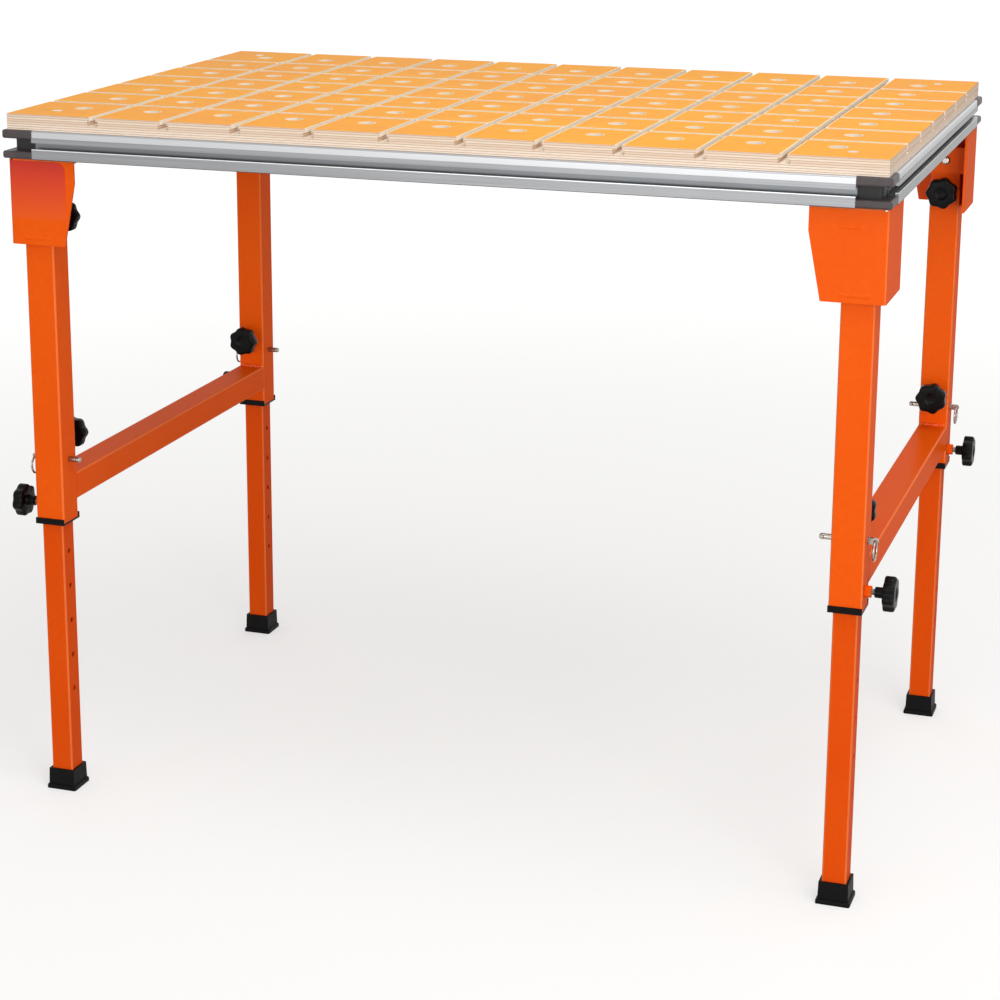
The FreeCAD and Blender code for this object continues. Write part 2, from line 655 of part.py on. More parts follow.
# Collars: a plate under the tube, two lips outside it and a guide sleeve inside it
COLLAR_UNDER = "(leg_bottom - collar_plate)"
COLLAR_WIDTH = "(leg_side + 2 * collar_margin)"
COLLAR_DEPTH = "(leg_side + 2 * collar_lip)"
collar_plate = block("collar_plate_blank", around(LEG_X, COLLAR_WIDTH), around(LEG_Y, COLLAR_DEPTH),
                     (COLLAR_UNDER, "leg_bottom"))
collar_lips = block("collar_lips", around(LEG_X, COLLAR_WIDTH), around(LEG_Y, COLLAR_DEPTH),
                    ("leg_bottom", f"{COLLAR_UNDER} + collar_lip_height"))
lip_room = block("collar_lip_room", (f"{leg_x[0]} - overrun", f"{leg_x[1]} + overrun"), leg_y,
                 ("leg_bottom", f"{COLLAR_UNDER} + collar_lip_height + overrun"))
bore_side = "(leg_side - 2 * leg_wall)"
sleeve_block = block("collar_sleeve", around(LEG_X, bore_side), around(LEG_Y, bore_side),
                     ("leg_bottom", "leg_bottom + collar_sleeve_height"))
passage_side = "(lower_side + 2 * collar_clearance)"
passage = block("collar_passage", around(LEG_X, passage_side), around(LEG_Y, passage_side),
                (f"{COLLAR_UNDER} - overrun", "leg_bottom + collar_sleeve_height + overrun"))
outer_lips = cut("collar_outer_lips", collar_lips, lip_room)
collar_outside = fuse("collar_outside", collar_plate, outer_lips, sleeve_block)
keep_corners("collar", cut("collar", collar_outside, passage, side_hole, pin_hole))

# Lower legs with their row of pin holes and the hole that takes the pin at this height
lower_x = around(LEG_X, "lower_side")
lower_y = around(LEG_Y, "lower_side")
lower_z = ("foot_floor", "pin_height + lower_above_pin")
lower_outside, lower_inside = square_tube("lower_leg", lower_x, lower_y, lower_z, "lower_wall",
                                          "lower_corner_radius")
row_holes = [rod(f"row_hole_{i + 1}", "x",
                 (f"{leg_x[0]} - overrun", LEG_Y, f"pin_height + pin_row_rise - {i} * pin_hole_pitch"),
                 "leg_side + 2 * overrun", "pin_radius + pin_clearance")
             for i in range(int(sheet.get("pin_holes")))]
keep_corners("lower_leg", cut("lower_leg", lower_outside, lower_inside, pin_hole, *row_holes))

# Feet
skirt = doc.addObject("Part::Wedge", "foot_skirt")
bind(skirt, Xmin="-foot_skirt_side / 2", Xmax="foot_skirt_side / 2", Zmin="-foot_skirt_side / 2",
     Zmax="foot_skirt_side / 2", X2min="-foot_top_side / 2", X2max="foot_top_side / 2",
     Z2min="-foot_top_side / 2", Z2max="foot_top_side / 2", Ymin="0", Ymax="foot_height")
place(skirt, LEG_X, LEG_Y, "0", Rotation(Vector(1, 0, 0), 90))
foot_base_blank = block("foot_base_blank", around(LEG_X, "foot_base_side"), around(LEG_Y, "foot_base_side"),
                        ("0", "foot_base_height"))
foot_base = rounded("foot_base", foot_base_blank, "foot_base_radius",
                    lambda edge, bounds: not near(edge.CenterOfMass.z, bounds.ZMin))
socket = block("foot_socket", lower_x, lower_y, ("foot_floor", "foot_height + overrun"))
keep_corners("foot", cut("foot", fuse("foot_outside", skirt, foot_base), socket))

# Lock pins
flange_end = f"({LEG_OUTER_X} + pin_flange_thickness)"
pin_tip = f"({leg_x[0]} - pin_tip_reach)"
pin_shaft_blank = rod("pin_shaft_blank", "x", (pin_tip, LEG_Y, "pin_height"),
                      f"{LEG_OUTER_X} - {pin_tip}", "pin_radius")
pin_shaft = rounded("pin_shaft", pin_shaft_blank, "pin_tip_radius",
                    lambda edge, bounds: near(edge.CenterOfMass.x, bounds.XMin) and not runs(edge, "x"))
pin_flange = rod("pin_flange", "x", (LEG_OUTER_X, LEG_Y, "pin_height"),
                 "pin_flange_thickness", "pin_flange_radius")
pin_tang_blank = block("pin_tang_blank", (flange_end, f"{flange_end} + pin_tang_length"),
                       around(LEG_Y, "pin_tang_thickness"), around("pin_height", "pin_tang_height"))
pin_tang = rounded("pin_tang", pin_tang_blank, "pin_tang_radius",
                   lambda edge, bounds: near(edge.CenterOfMass.x, bounds.XMax) and runs(edge, "y"))
ring_hole = rod("ring_hole", "y", (RING_X, f"{LEG_Y} - pin_flange_radius", "pin_height"),
                "2 * pin_flange_radius", "ring_hole_radius")
keep_corners("lock_pin", cut("lock_pin", fuse("pin_outside", pin_shaft, pin_flange, pin_tang), ring_hole))
ring = doc.addObject("Part::Torus", "pin_ring")
bind(ring, Radius1="ring_radius", Radius2="ring_wire_radius")
place(ring, RING_X, LEG_Y, "pin_height - ring_radius", ALONG["x"])
keep_corners("pin_ring", ring)

# Knob head, along +Z from the face of the leg that it clamps
knob = new_body("knob_head")
KNOB_START = "(knob_stand_off + hub_length)"
rim = new_sketch(knob, "knob_outline", "XY_Plane", KNOB_START)
circle(rim, "0", "0", "knob_radius")
feature(knob, "Pad", "knob_disc", rim, "knob_height")
hub = new_sketch(knob, "hub_outline", "XY_Plane", "knob_stand_off")
circle(hub, "0", "0", "hub_radius")
feature(knob, "Pad", "knob_hub", hub, "hub_length")
hollow = new_sketch(knob, "hollow_outline", "XY_Plane", KNOB_START)
circle(hollow, "knob_hollow_distance", "0", "knob_hollow_radius")
first_hollow = feature(knob, "Pocket", "knob_hollow", hollow, symmetric=True)
doc.recompute()
hollows = knob.newObject("PartDesign::PolarPattern", "knob_hollows")
hollows.Originals = [first_hollow]
hollows.Axis = (origin_feature(knob, "Z_Axis"), [""])
bind(hollows, Occurrences="knob_lobes")
knob.Tip = hollows
recess = new_sketch(knob, "recess_outline", "XY_Plane", f"{KNOB_START} + knob_height")
circle(recess, "0", "0", "knob_recess_radius")
feature(knob, "Pocket", "knob_recess", recess, "knob_recess_depth")
knob_head = rounded("knob_rounded", knob, "knob_edge_radius",
                    lambda edge, bounds: near(edge.CenterOfMass.z, bounds.ZMax) and not edge.isClosed())


def clamp_knob(name, reach, spot, rotation):
    """A knob with its stud, and the weld nut on the leg that it screws through."""
    stud = rod(name + "_stud", "z", ("0", "0", f"-({reach})"), f"knob_stand_off + ({reach})", "stud_radius")
    assembly = group(name, [knob_head, stud])
    place(assembly, *spot, rotation=rotation)
    keep_corners(name, assembly)
    nut_blank = rod(name + "_nut_blank", "z", ("0", "0", "0"), "weld_nut_height",
                    "weld_nut_flats / sqrt(3)", "Part::Prism")
    nut_bore = rod(name + "_nut_bore", "z", ("0", "0", "-overrun"), "weld_nut_height + 2 * overrun",
                   "stud_radius + stud_clearance")
    weld_nut = cut(name + "_nut", nut_blank, nut_bore)
    place(weld_nut, *spot, rotation=rotation)
    return weld_nut


inward = Rotation(Vector(1, 0, 0), 90)
outward = Rotation(Vector(0, 1, 0), 90)
to_plate = f"{PLATE_IN} - {LEG_INNER_Y} - stud_gap"
to_lower_leg = "(leg_side - lower_side) / 2 - stud_gap"
weld_nuts = [
    clamp_knob("fold_knob", to_plate, (LEG_X, LEG_INNER_Y, FOLD_KNOB_Z), inward),
    clamp_knob("leg_knob", to_lower_leg, (LEG_X, LEG_INNER_Y, "leg_knob_height"), inward),
    clamp_knob("side_knob", to_lower_leg, (LEG_OUTER_X, LEG_Y, "side_knob_height"), outward),
]
back_nuts = group("weld_nuts_back", weld_nuts)
front_nuts = mirror("weld_nuts_front", back_nuts, ACROSS_Y)
right_nuts = keep("weld_nuts_right", group("weld_nuts_right", [back_nuts, front_nuts]))
keep("weld_nuts_left", mirror("weld_nuts_left", right_nuts, ACROSS_X))

# Check every object, then write one file for each sub-part
doc.recompute()
for thing in doc.Objects:
    if "Invalid" in thing.State or "Error" in thing.State:
        raise RuntimeError(f"{thing.Name} did not rebuild: {thing.State}")
for label, thing in nodes.items():
    if thing.Shape.isNull() or not thing.Shape.isValid() or not thing.Shape.Solids:
        raise RuntimeError(f"{label} has no sound shape")
os.makedirs("parts", exist_ok=True)
for label, thing in nodes.items():
    thing.Shape.exportStep(f"parts/{label}.step")
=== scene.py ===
import json
import math

import bmesh
import bpy
from mathutils import Matrix, Vector


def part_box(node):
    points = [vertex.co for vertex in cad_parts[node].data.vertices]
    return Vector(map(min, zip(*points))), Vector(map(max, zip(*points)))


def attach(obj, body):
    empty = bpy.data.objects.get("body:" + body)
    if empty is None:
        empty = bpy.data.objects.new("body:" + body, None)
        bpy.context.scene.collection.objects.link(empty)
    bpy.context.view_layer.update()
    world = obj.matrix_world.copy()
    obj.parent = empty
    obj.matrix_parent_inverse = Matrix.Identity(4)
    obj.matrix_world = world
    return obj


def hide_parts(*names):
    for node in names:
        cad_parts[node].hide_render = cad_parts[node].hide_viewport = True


# Folding work table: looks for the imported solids, in metres, in the solids' own frame.
# X runs along the table, -Y is its front, Z is up and the floor is Z = 0.

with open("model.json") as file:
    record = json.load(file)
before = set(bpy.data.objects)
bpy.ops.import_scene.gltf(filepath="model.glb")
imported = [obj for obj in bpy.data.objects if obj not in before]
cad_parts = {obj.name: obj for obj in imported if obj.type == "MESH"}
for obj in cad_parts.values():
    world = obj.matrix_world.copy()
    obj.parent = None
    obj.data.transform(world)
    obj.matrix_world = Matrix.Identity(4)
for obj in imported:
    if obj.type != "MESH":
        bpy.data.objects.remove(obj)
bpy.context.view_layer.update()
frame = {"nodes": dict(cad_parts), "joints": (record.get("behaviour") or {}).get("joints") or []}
scene = bpy.context.scene
MM = 0.001
X, Y, Z = range(3)


def span(node, axis):
    """Where a solid starts and ends along an axis, in millimetres."""
    low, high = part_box(node)
    return round(low[axis] / MM, 2), round(high[axis] / MM, 2)


def hinge_height(name):
    """The height of a hinge's axis, in millimetres."""
    hinge = next(joint for joint in frame["joints"] if joint["name"] == name)
    return hinge["pos_m"][Z] / MM


# Places taken from the solids, in millimetres. The back right corner stands for all four.
BOARD_UNDER, BOARD_TOP = span("worktop", Z)
BOARD_HALF_X = span("worktop", X)[1]
BOARD_HALF_Y = span("worktop", Y)[1]
RAIL_UNDER, RAIL_TOP = span("rail_back", Z)
RAIL_FACE_X = span("rail_right", X)[1]
RAIL_FACE_Y = span("rail_back", Y)[1]
WEB_FACE_X = span("bracket_back_right", X)[1]
PLATE_FACE_Y = span("bracket_back_right", Y)[1]
LEG_INNER_X, LEG_OUTER_X = span("upper_leg_back_right", X)
LEG_INNER_Y, LEG_OUTER_Y = span("upper_leg_back_right", Y)
LEG_X = (LEG_INNER_X + LEG_OUTER_X) / 2
LEG_Y = (LEG_INNER_Y + LEG_OUTER_Y) / 2
LEG_HALF = LEG_OUTER_X - LEG_X
LOWER_LEG_HALF = span("lower_leg_back_right", X)[1] - LEG_X
CROSSBAR_BOTTOM, CROSSBAR_TOP = span("crossbar_right", Z)
CORNERS = {
    "front_left": (-1, -1),
    "front_right": (1, -1),
    "back_left": (-1, 1),
    "back_right": (1, 1),
}


# Finishes

def linear(hex_colour):
    """An sRGB hex colour as the linear colour that a shader socket takes."""
    channels = [int(hex_colour[i:i + 2], 16) / 255 for i in (1, 3, 5)]
    return [c / 12.92 if c <= 0.04045 else ((c + 0.055) / 1.055) ** 2.4 for c in channels] + [1.0]


def add(tree, kind, sockets=None, stops=None, **settings):
    """Add one shader node: its settings, its ramp stops, and its inputs as values or links."""
    made = tree.nodes.new("ShaderNode" + kind)
    for name, value in settings.items():
        setattr(made, name, value)
    for socket, value in (sockets or {}).items():
        if isinstance(value, bpy.types.NodeSocket):
            tree.links.new(value, made.inputs[socket])
        else:
            made.inputs[socket].default_value = value
    if stops:
        elements = made.color_ramp.elements
        while len(elements) < len(stops):
            elements.new(1.0)
        for element, (position, colour) in zip(elements, stops):
            element.position = position
            element.color = linear(colour)
    return made


def new_finish(name, **shader_values):
    """A material with its shader's plain values set, and the Object coordinates that its patterns read."""
    material = bpy.data.materials.new(name)
    material.use_nodes = True
    tree = material.node_tree
    shader = tree.nodes["Principled BSDF"]
    for socket, value in shader_values.items():
        shader.inputs[socket.replace("_", " ")].default_value = value
    return material, tree, shader, add(tree, "TexCoord").outputs["Object"]


def per_mm(size):
    """The texture scale at which one feature is this many millimetres wide."""
    return 1 / (size * MM)


def from_centre(tree, axes):
    """How far a point lies from the table's middle, along X and along Y."""
    return {axis: add(tree, "Math", {0: axes[axis]}, operation="ABSOLUTE").outputs[0] for axis in ("X", "Y")}


# The board: a grid of holes with a groove between each two rows, and a thin film on the plies
HOLES_X, HOLES_Y = 11, 7
HOLE_PITCH, HOLE_RADIUS, GROOVE_NECK = 96, 10, 8
LAST_HOLE_X = (HOLES_X - 1) / 2 * HOLE_PITCH
LAST_HOLE_Y = (HOLES_Y - 1) / 2 * HOLE_PITCH
RIM_LEAST, RIM_MOST = 0.7, 1.9
FILM_THICKNESS, SIDE_SKIN = 0.25, 0.3
PLIES, PLY_SWAY = 7, 0.25
PLY = (BOARD_TOP - BOARD_UNDER) / PLIES


def bare_edges(tree, place, axes, out):
    """1 in the holes and grooves and on a ragged line of bare wood round them, 0 on the rest of the board."""
    half = HOLE_PITCH / 2 * MM
    wrapped = {axis: add(tree, "Math", {0: axes[axis], 1: -half, 2: half}, operation="WRAP").outputs[0]
               for axis in out}
    across = add(tree, "CombineXYZ", wrapped)
    from_hole = add(tree, "VectorMath", {0: across.outputs[0]}, operation="LENGTH").outputs["Value"]
    ragged = add(tree, "TexNoise", {"Vector": place, "Scale": per_mm(5), "Detail": 2.0})
    width = add(tree, "MapRange", {"Value": ragged.outputs["Fac"], "To Min": RIM_LEAST * MM,
                                   "To Max": RIM_MOST * MM}).outputs[0]
    past_rim = add(tree, "Math", {0: from_hole, 1: HOLE_RADIUS * MM}, operation="SUBTRACT")
    bare = add(tree, "Math", {0: past_rim.outputs[0], 1: width}, operation="LESS_THAN").outputs[0]
    for axis, last in (("X", LAST_HOLE_X), ("Y", LAST_HOLE_Y)):
        from_line = add(tree, "Math", {0: wrapped[axis]}, operation="ABSOLUTE")
        from_groove = add(tree, "Math", {0: half, 1: from_line.outputs[0]}, operation="SUBTRACT")
        past_lip = add(tree, "Math", {0: from_groove.outputs[0], 1: GROOVE_NECK / 2 * MM},
                       operation="SUBTRACT")
        lip = add(tree, "Math", {0: past_lip.outputs[0], 1: width}, operation="LESS_THAN")
        within = add(tree, "Math", {0: out[axis], 1: last * MM}, operation="LESS_THAN")
        grooved = add(tree, "Math", {0: lip.outputs[0], 1: within.outputs[0]}, operation="MULTIPLY")
        bare = add(tree, "Math", {0: bare, 1: grooved.outputs[0]}, operation="MAXIMUM").outputs[0]
    return bare


def stacked_plies(tree, place, axes):
    """Wood in layers, each a little lighter or darker, with the cross-cut ones as dark lines between them."""
    wander = add(tree, "TexNoise", {"Vector": place, "Scale": per_mm(60), "Detail": 1.0})
    sway = add(tree, "MapRange", {"Value": wander.outputs["Fac"], "To Min": -PLY_SWAY * MM,
                                  "To Max": PLY_SWAY * MM})
    height = add(tree, "Math", {0: axes["Z"], 1: sway.outputs[0]}, operation="ADD")
    layer = add(tree, "Math", {0: height.outputs[0], 1: per_mm(PLY)}, operation="MULTIPLY").outputs[0]
    number = add(tree, "Math", {0: layer}, operation="FLOOR")
    tone = add(tree, "TexWhiteNoise", {"W": number.outputs[0]}, noise_dimensions="1D")
    fibre_map = add(tree, "Mapping", {"Vector": place, "Scale": (per_mm(3), per_mm(3), per_mm(0.8))})
    fibre = add(tree, "TexNoise", {"Vector": fibre_map.outputs["Vector"], "Scale": 1.0, "Detail": 3.0})
    mottle = add(tree, "Math", {0: tone.outputs["Value"], 1: fibre.outputs["Fac"]}, operation="MULTIPLY")
    wood = add(tree, "ValToRGB", {"Fac": mottle.outputs[0]},
               stops=[(0.0, "#E6CDB6"), (0.3, "#EEDAC6"), (0.6, "#F5E6D6")])
    part_up = add(tree, "Math", {0: layer}, operation="FRACT")
    line = add(tree, "ValToRGB", {"Fac": part_up.outputs[0]},
               stops=[(0.0, "#FFFFFF"), (0.16, "#FFFFFF"), (0.26, "#000000"), (1.0, "#000000")])
    lined = add(tree, "Mix", {0: line.outputs["Color"], 6: wood.outputs["Color"], 7: linear("#C09A7D")},
                data_type="RGBA")
    return lined.outputs[2]


def film_faced_plywood():
    """Birch plywood faced with phenolic film: satin orange over a faint grain, cut through to pale wood.

    The drilled and routed edges show a narrow line of bare wood, the walls of the holes and grooves are
    painted paler as painted light over the pale wood, and the sides show the stacked plies.
    """
    material, tree, shader, place = new_finish("film_faced_birch_plywood", IOR=1.5, Specular_IOR_Level=0.03)
    axes = add(tree, "SeparateXYZ", {"Vector": place}).outputs
    out = from_centre(tree, axes)
    bare = bare_edges(tree, place, axes, out)

    # Film: cloudy resin, and the veneer's grain showing through, drawn 4 mm wide so that it can be seen
    cloud = add(tree, "TexNoise", {"Vector": place, "Scale": per_mm(140), "Detail": 3.0})
    grain_map = add(tree, "Mapping", {"Vector": place, "Scale": (per_mm(90), per_mm(4), per_mm(4))})
    grain = add(tree, "TexNoise", {"Vector": grain_map.outputs["Vector"], "Scale": 1.0, "Detail": 3.0})
    blend = add(tree, "Math", {0: cloud.outputs["Fac"], 1: grain.outputs["Fac"]}, operation="MULTIPLY")
    film = add(tree, "ValToRGB", {"Fac": blend.outputs[0]},
               stops=[(0.12, "#F29B0D"), (0.25, "#F7A314"), (0.42, "#FBAC1E")])
    worn = add(tree, "Mix", {0: bare, 6: film.outputs["Color"], 7: linear("#FFE9C4")}, data_type="RGBA")

    # Walls of the holes and grooves: painted paler than the board's outer sides, as painted light
    wall_painted_light = add(tree, "Math", {0: bare, 1: 0.75}, operation="MULTIPLY").outputs[0]
    for axis, reach in (("X", BOARD_HALF_X), ("Y", BOARD_HALF_Y)):
        inside = add(tree, "Math", {0: out[axis], 1: (reach - SIDE_SKIN) * MM}, operation="LESS_THAN")
        wall_painted_light = add(tree, "Math", {0: wall_painted_light, 1: inside.outputs[0]}, operation="MULTIPLY").outputs[0]
    plies = stacked_plies(tree, place, axes)
    wall = add(tree, "Mix", {0: wall_painted_light, 6: plies, 7: linear("#FFF6E6")}, data_type="RGBA")

    # The film lies on the top face alone
    on_top = add(tree, "Math", {0: axes["Z"], 1: (BOARD_TOP - FILM_THICKNESS) * MM},
                 operation="GREATER_THAN").outputs[0]
    colour = add(tree, "Mix", {0: on_top, 6: wall.outputs[2], 7: worn.outputs[2]}, data_type="RGBA")
    tree.links.new(colour.outputs[2], shader.inputs["Base Color"])
    gloss = add(tree, "MapRange", {"Value": cloud.outputs["Fac"], "To Min": 0.40, "To Max": 0.52})
    roughness = add(tree, "Mix", {0: on_top, 2: 0.75, 3: gloss.outputs[0]})
    tree.links.new(roughness.outputs[0], shader.inputs["Roughness"])
    bump = add(tree, "Bump", {"Height": grain.outputs["Fac"], "Strength": 0.12, "Distance": 0.05 * MM})
    tree.links.new(bump.outputs[0], shader.inputs["Normal"])
    return material


# The rail's section: its step, with a band of painted highlight above it, the slot with a painted highlight
# on its lower edge, a painted shade line along the bottom edge, and the recess that goes on in the corner
# pieces
RAIL_STEP = RAIL_TOP - 9
SLOT_LOW, SLOT_EDGE, SLOT_HIGH = RAIL_UNDER + 8, RAIL_UNDER + 12.6, RAIL_UNDER + 26
RECESS_LOW, RECESS_HIGH = RAIL_UNDER + 9.6, RAIL_UNDER + 24.9
SLOT_LIP, RECESS_LIP = 4.5, 2.5
# Half widths of the painted highlight on the slot's lower edge and of the painted shade line along the bottom
# edge
HIGHLIGHT_EDGE, SHADED_BOTTOM_EDGE = 0.5, 0.7


def behind_lips(tree, axes, low, high, lip):
    """1 between two heights, further in than the lips' thickness from the rails' outer faces, 0 elsewhere."""
    inside = add(tree, "Math", {0: axes["Z"], 1: (low + high) / 2 * MM, 2: (high - low) / 2 * MM},
                 operation="COMPARE").outputs[0]
    out = from_centre(tree, axes)
    for axis, face in (("X", RAIL_FACE_X), ("Y", RAIL_FACE_Y)):
        behind = add(tree, "Math", {0: out[axis], 1: (face - lip) * MM}, operation="LESS_THAN")
        inside = add(tree, "Math", {0: inside, 1: behind.outputs[0]}, operation="MULTIPLY").outputs[0]
    return inside


def anodised_aluminium():
    """Clear anodised extrusion: a satin grey metal with fine die lines along its length.

    The band over the step and the slot's lower edge are painted lighter as a highlight, the bottom edge is
    painted dark as shade, and the walls in the slot are painted darker as shade.
    """
    material, tree, shader, place = new_finish("anodised_aluminium_extrusion", Metallic=1.0)
    lines_map = add(tree, "Mapping", {"Vector": place, "Scale": (per_mm(260), per_mm(260), per_mm(0.9))})
    lines = add(tree, "TexNoise", {"Vector": lines_map.outputs["Vector"], "Scale": 1.0, "Detail": 4.0})
    metal = add(tree, "ValToRGB", {"Fac": lines.outputs["Fac"]}, stops=[(0.3, "#808183"), (0.7, "#8E8F91")])
    axes = add(tree, "SeparateXYZ", {"Vector": place}).outputs
    colour = metal.outputs["Color"]
    # Painted highlight over the step and on the slot's lower edge, painted shade along the bottom edge
    for low, high, tone in (
            (RAIL_STEP, RAIL_TOP, "#B2B3B5"),
            (SLOT_EDGE - HIGHLIGHT_EDGE, SLOT_EDGE + HIGHLIGHT_EDGE, "#D8D9DA"),
            (RAIL_UNDER - SHADED_BOTTOM_EDGE, RAIL_UNDER + SHADED_BOTTOM_EDGE, "#333435")):
        band = add(tree, "Math", {0: axes["Z"], 1: (low + high) / 2 * MM, 2: (high - low) / 2 * MM},
                   operation="COMPARE")
        toned = add(tree, "Mix", {0: band.outputs[0], 6: colour, 7: linear(tone)}, data_type="RGBA")
        colour = toned.outputs[2]
    # Painted shade on the walls inside the slot
    in_slot = behind_lips(tree, axes, SLOT_LOW, SLOT_HIGH, SLOT_LIP)
    slot_shaded = add(tree, "Mix", {0: in_slot, 6: colour, 7: linear("#6E7173")}, data_type="RGBA")
    tree.links.new(slot_shaded.outputs[2], shader.inputs["Base Color"])
    haze = add(tree, "TexNoise", {"Vector": place, "Scale": per_mm(70), "Detail": 2.0})
    satin = add(tree, "MapRange", {"Value": haze.outputs["Fac"], "To Min": 0.30, "To Max": 0.42})
    tree.links.new(satin.outputs[0], shader.inputs["Roughness"])
    bump = add(tree, "Bump", {"Height": lines.outputs["Fac"], "Strength": 0.10, "Distance": 0.05 * MM})
    tree.links.new(bump.outputs[0], shader.inputs["Normal"])
    return material


def glass_filled_nylon():
    """Moulded glass-filled nylon: warm dark grey, dull, with a spark-eroded grain, and painted shade in its
    recess.
    """
    material, tree, shader, place = new_finish("grey_glass_filled_nylon", IOR=1.53, Specular_IOR_Level=0.35)
    flow = add(tree, "TexNoise", {"Vector": place, "Scale": per_mm(25), "Detail": 2.0})
    colour = add(tree, "ValToRGB", {"Fac": flow.outputs["Fac"]}, stops=[(0.3, "#3D3637"), (0.7, "#494142")])
    axes = add(tree, "SeparateXYZ", {"Vector": place}).outputs
    # Painted shade in the recess between the lips
    in_recess = behind_lips(tree, axes, RECESS_LOW, RECESS_HIGH, RECESS_LIP)
    recess_shaded = add(tree, "Mix", {0: in_recess, 6: colour.outputs["Color"], 7: linear("#0A0706")},
                data_type="RGBA")
    tree.links.new(recess_shaded.outputs[2], shader.inputs["Base Color"])
    grain = add(tree, "TexNoise", {"Vector": place, "Scale": per_mm(1.2), "Detail": 2.0})
    dull = add(tree, "MapRange", {"Value": grain.outputs["Fac"], "To Min": 0.42, "To Max": 0.58})
    tree.links.new(dull.outputs[0], shader.inputs["Roughness"])
    bump = add(tree, "Bump", {"Height": grain.outputs["Fac"], "Strength": 0.25, "Distance": 0.08 * MM})
    tree.links.new(bump.outputs[0], shader.inputs["Normal"])
    return material


# Width of the painted highlight line on a rounded edge, and how far under the rail it ends on the brackets'
# top bend
EDGE_LINE = 2.0
TOP_BEND_DROP = 1


def rounded_edges(tree, place):
    """1 on a narrow line along the rounded edges of the tubes and brackets, where a highlight is painted, 0
    elsewhere.
    """
    axes = add(tree, "SeparateXYZ", {"Vector": place}).outputs
    out = from_centre(tree, axes)
    bar_half = (CROSSBAR_TOP - CROSSBAR_BOTTOM) / 2
    offsets = []
    for along, middle in ((out["X"], LEG_X), (out["Y"], LEG_Y), (axes["Z"], CROSSBAR_TOP - bar_half)):
        past = add(tree, "Math", {0: along, 1: middle * MM}, operation="SUBTRACT")
        offsets.append(add(tree, "Math", {0: past.outputs[0]}, operation="ABSOLUTE").outputs[0])
    from_leg_x, from_leg_y, from_bar = offsets
    between_legs = add(tree, "Math", {0: out["Y"], 1: LEG_INNER_Y * MM}, operation="LESS_THAN").outputs[0]
    lines = 0.0
    for first, first_reach, second, second_reach, where in (
            (from_leg_x, LEG_HALF, from_leg_y, LEG_HALF, 1.0),
            (from_leg_x, LOWER_LEG_HALF, from_leg_y, LOWER_LEG_HALF, 1.0),
            (from_leg_x, LEG_HALF, from_bar, bar_half, between_legs),
            (out["X"], WEB_FACE_X, out["Y"], PLATE_FACE_Y, 1.0),
            (out["Y"], PLATE_FACE_Y, axes["Z"], RAIL_UNDER - TOP_BEND_DROP, 1.0)):
        for offset, reach in ((first, first_reach), (second, second_reach)):
            near = add(tree, "Math", {0: offset, 1: (reach - EDGE_LINE / 2) * MM, 2: EDGE_LINE / 2 * MM},
                       operation="COMPARE")
            where = add(tree, "Math", {0: where, 1: near.outputs[0]}, operation="MULTIPLY").outputs[0]
        lines = add(tree, "Math", {0: lines, 1: where}, operation="MAXIMUM").outputs[0]
    return lines


def orange_powder_coat(name, coat, coat_roughness, dark, light):
    """Powder-coated steel: an even semi-gloss orange with the low dimples of sprayed powder.

    A highlight is painted along the rounded edges. The dimples are drawn 4 mm wide, coarser than real ones,
    so that they show.
    """
    material, tree, shader, place = new_finish(name, IOR=1.5, Specular_IOR_Level=0.0, Coat_Weight=coat,
                                             Coat_Roughness=coat_roughness)
    cover = add(tree, "TexNoise", {"Vector": place, "Scale": per_mm(120), "Detail": 2.0})
    specks = add(tree, "TexNoise", {"Vector": place, "Scale": per_mm(6), "Detail": 3.0})
    mixed = add(tree, "Math", {0: cover.outputs["Fac"], 1: specks.outputs["Fac"]}, operation="MULTIPLY")
    colour = add(tree, "ValToRGB", {"Fac": mixed.outputs[0]}, stops=[(0.12, dark), (0.4, light)])
    # Painted highlight along the rounded edges
    edge_highlight = add(tree, "Math", {0: rounded_edges(tree, place), 1: 0.32}, operation="MULTIPLY")
    edged = add(tree, "Mix", {0: edge_highlight.outputs[0], 6: colour.outputs["Color"], 7: linear("#FFA268")},
                data_type="RGBA")
    tree.links.new(edged.outputs[2], shader.inputs["Base Color"])
    gloss = add(tree, "MapRange", {"Value": cover.outputs["Fac"], "To Min": 0.38, "To Max": 0.48})
    tree.links.new(gloss.outputs[0], shader.inputs["Roughness"])
    dimples = add(tree, "TexNoise", {"Vector": place, "Scale": per_mm(4), "Detail": 1.0})
    bump = add(tree, "Bump", {"Height": dimples.outputs["Fac"], "Strength": 0.10, "Distance": 0.12 * MM})
    tree.links.new(bump.outputs[0], shader.inputs["Normal"])
    return material


def black_moulding(name, light, dark, smooth, rough, grain_size):
    """Black moulded plastic or rubber: near black, with a grain that breaks up its highlights."""
    material, tree, shader, place = new_finish(name, IOR=1.5, Specular_IOR_Level=0.10)
    wear = add(tree, "TexNoise", {"Vector": place, "Scale": per_mm(18), "Detail": 3.0})
    colour = add(tree, "ValToRGB", {"Fac": wear.outputs["Fac"]}, stops=[(0.3, dark), (0.7, light)])
    tree.links.new(colour.outputs["Color"], shader.inputs["Base Color"])
    sheen = add(tree, "MapRange", {"Value": wear.outputs["Fac"], "To Min": smooth, "To Max": rough})
    tree.links.new(sheen.outputs[0], shader.inputs["Roughness"])
    grain = add(tree, "TexNoise", {"Vector": place, "Scale": per_mm(grain_size), "Detail": 2.0})
    bump = add(tree, "Bump", {"Height": grain.outputs["Fac"], "Strength": 0.2, "Distance": 0.06 * MM})
    tree.links.new(bump.outputs[0], shader.inputs["Normal"])
    return material


